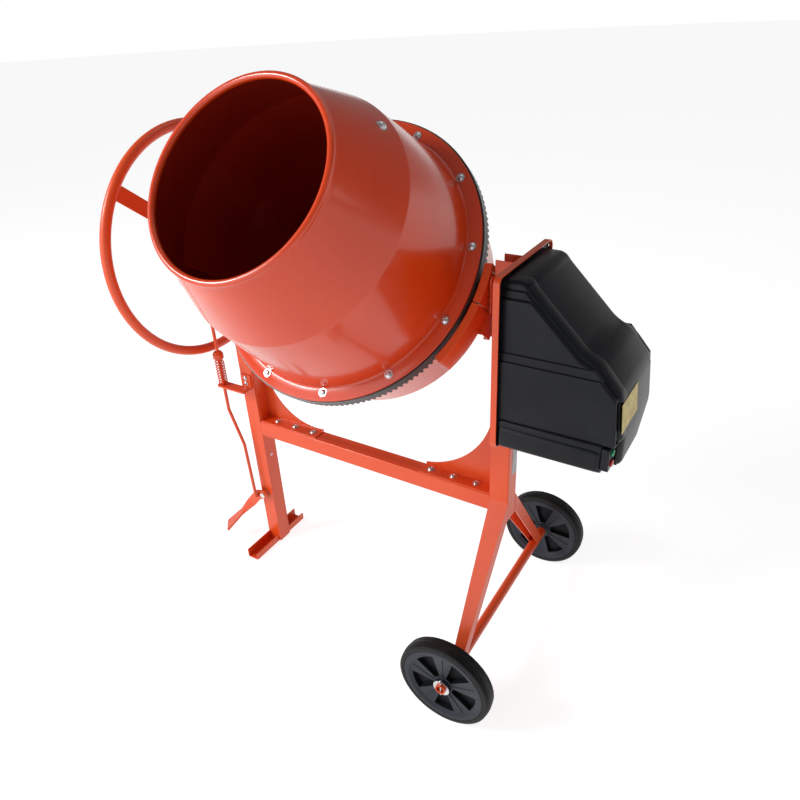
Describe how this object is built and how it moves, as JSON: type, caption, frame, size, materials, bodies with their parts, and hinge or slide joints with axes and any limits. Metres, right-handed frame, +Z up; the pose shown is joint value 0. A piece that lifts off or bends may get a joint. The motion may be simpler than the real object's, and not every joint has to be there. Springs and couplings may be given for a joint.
{
  "type": "concrete mixer",
  "caption": "Tilting-drum electric concrete mixer: conical drum in a pivoting yoke with a handwheel, geared ring drive under a black cover, and a wheeled stand with a foot-operated tilt lock.",
  "frame": {"origin": "on the floor under the middle of the machine's overall box", "axes": "+Z up; +X along the crossbeam from the handwheel to the motor cover; the drum's mouth leans over towards -Y"},
  "size_m": [1.2988, 0.8584, 1.4919],
  "materials": {
    "orange_paint": "glossy orange-red paint",
    "drum_paint": "glossy orange-red paint, darker inside",
    "zinc": "zinc plated",
    "steel": "machined steel",
    "black_iron": "black cast iron",
    "black_plastic": "satin black plastic",
    "wheel_plastic": "dark blue-grey plastic",
    "tyre_rubber": "black rubber",
    "belt_rubber": "black rubber",
    "motor_grey": "cast aluminium",
    "bronze": "sintered bronze",
    "green_plastic": "green",
    "red_plastic": "red",
    "label_gold": "blank gold foil label"
  },
  "bodies": {
    "frame": {"left_post": "orange_paint", "left_post_liner": "orange_paint", "left_foot": "orange_paint", "crossbeam": "orange_paint", "left_gusset": "orange_paint", "right_gusset": "orange_paint", "right_post": "orange_paint", "front_leg": "orange_paint", "rear_leg": "orange_paint", "axle_tube": "orange_paint", "frame_bolts": "zinc", "left_bearing": "orange_paint", "right_bearing": "orange_paint", "wheel_retainers": "zinc", "backplate": "orange_paint", "motor_cover": "black_plastic", "cover_screws": "zinc", "motor_housing": "motor_grey", "motor_bracket": "steel", "drive_belt": "belt_rubber", "switch_box": "black_plastic", "power_inlet": "black_plastic", "blank_labels": "label_gold", "lock_bracket": "orange_paint", "pedal_bolt": "zinc"},
    "front_wheel": {"front_wheel_tyre": "tyre_rubber", "front_wheel_disc": "wheel_plastic"},
    "rear_wheel": {"rear_wheel_tyre": "tyre_rubber", "rear_wheel_disc": "wheel_plastic"},
    "yoke": {"yoke_frame": "orange_paint", "left_trunnion": "orange_paint", "right_trunnion": "orange_paint", "shaft_bushes": "bronze", "lock_disc": "orange_paint", "handwheel_rim": "orange_paint", "handwheel_spoke": "orange_paint", "gear_guard_lower": "orange_paint", "gear_guard_upper": "orange_paint", "guard_bracket": "orange_paint", "drum_spindle": "steel"},
    "drum": {"drum_upper": "drum_paint", "drum_lower": "drum_paint", "ring_gear": "black_iron", "flange_bolts": "zinc", "mixing_paddle_a": "orange_paint", "mixing_paddle_b": "orange_paint", "paddle_bolts": "zinc", "drum_hub": "drum_paint", "spindle_bearings": "steel"},
    "pinion_drive": {"pinion": "steel", "pinion_shaft": "steel", "large_pulley": "black_iron"},
    "rotor": {"motor_rotor": "steel", "motor_pulley": "steel"},
    "plunger": {"lock_rod": "orange_paint", "lock_spring": "orange_paint", "spring_collar": "orange_paint"},
    "pedal": {"pedal": "orange_paint"},
    "green_button": {"green_button": "green_plastic"},
    "red_button": {"red_button": "red_plastic"}
  },
  "joints": [
    {"name": "yoke_tilt", "type": "hinge", "parent": "frame", "child": "yoke", "pos_m": [-0.064, 0.066, 1.033], "axis": [1, 0, 0], "range_deg": [-181, 79]},
    {"name": "drum_spin", "type": "hinge", "parent": "yoke", "child": "drum", "pos_m": [-0.064, 0.066, 1.033], "axis": [0, -0.7771, 0.6293], "continuous": true},
    {"name": "pinion_spin", "type": "hinge", "parent": "yoke", "child": "pinion_drive", "pos_m": [-0.064, 0.066, 1.033], "axis": [1, 0, 0], "continuous": true},
    {"name": "motor_spin", "type": "hinge", "parent": "frame", "child": "rotor", "pos_m": [0.531, 0.066, 0.833], "axis": [1, 0, 0], "continuous": true},
    {"name": "front_wheel_spin", "type": "hinge", "parent": "frame", "child": "front_wheel", "pos_m": [0.351, -0.264, 0.125], "axis": [0, 1, 0], "continuous": true},
    {"name": "rear_wheel_spin", "type": "hinge", "parent": "frame", "child": "rear_wheel", "pos_m": [0.351, 0.396, 0.125], "axis": [0, 1, 0], "continuous": true},
    {"name": "pedal_press", "type": "hinge", "parent": "frame", "child": "pedal", "pos_m": [-0.488, 0.028, 0.2], "axis": [0, -1, 0], "range_deg": [0, 15]},
    {"name": "lock_slide", "type": "slide", "parent": "frame", "child": "plunger", "axis": [0, 0, 1], "range_m": [-0.0066, 0], "stiffness_N_per_m": 2000, "springref_m": 0.006, "deforming": ["lock_spring"]},
    {"name": "green_press", "type": "slide", "parent": "frame", "child": "green_button", "axis": [-1, 0, 0], "range_m": [0, 0.003], "stiffness_N_per_m": 300},
    {"name": "red_press", "type": "slide", "parent": "frame", "child": "red_button", "axis": [-1, 0, 0], "range_m": [0, 0.003], "stiffness_N_per_m": 300}
  ],
  "couplings": [
    {"joint": "pinion_spin", "follows": "drum_spin", "ratio": -9.75},
    {"joint": "motor_spin", "follows": "drum_spin", "ratio": -40.975},
    {"joint": "lock_slide", "follows": "pedal_press", "m_per_rad": -0.025}
  ]
}
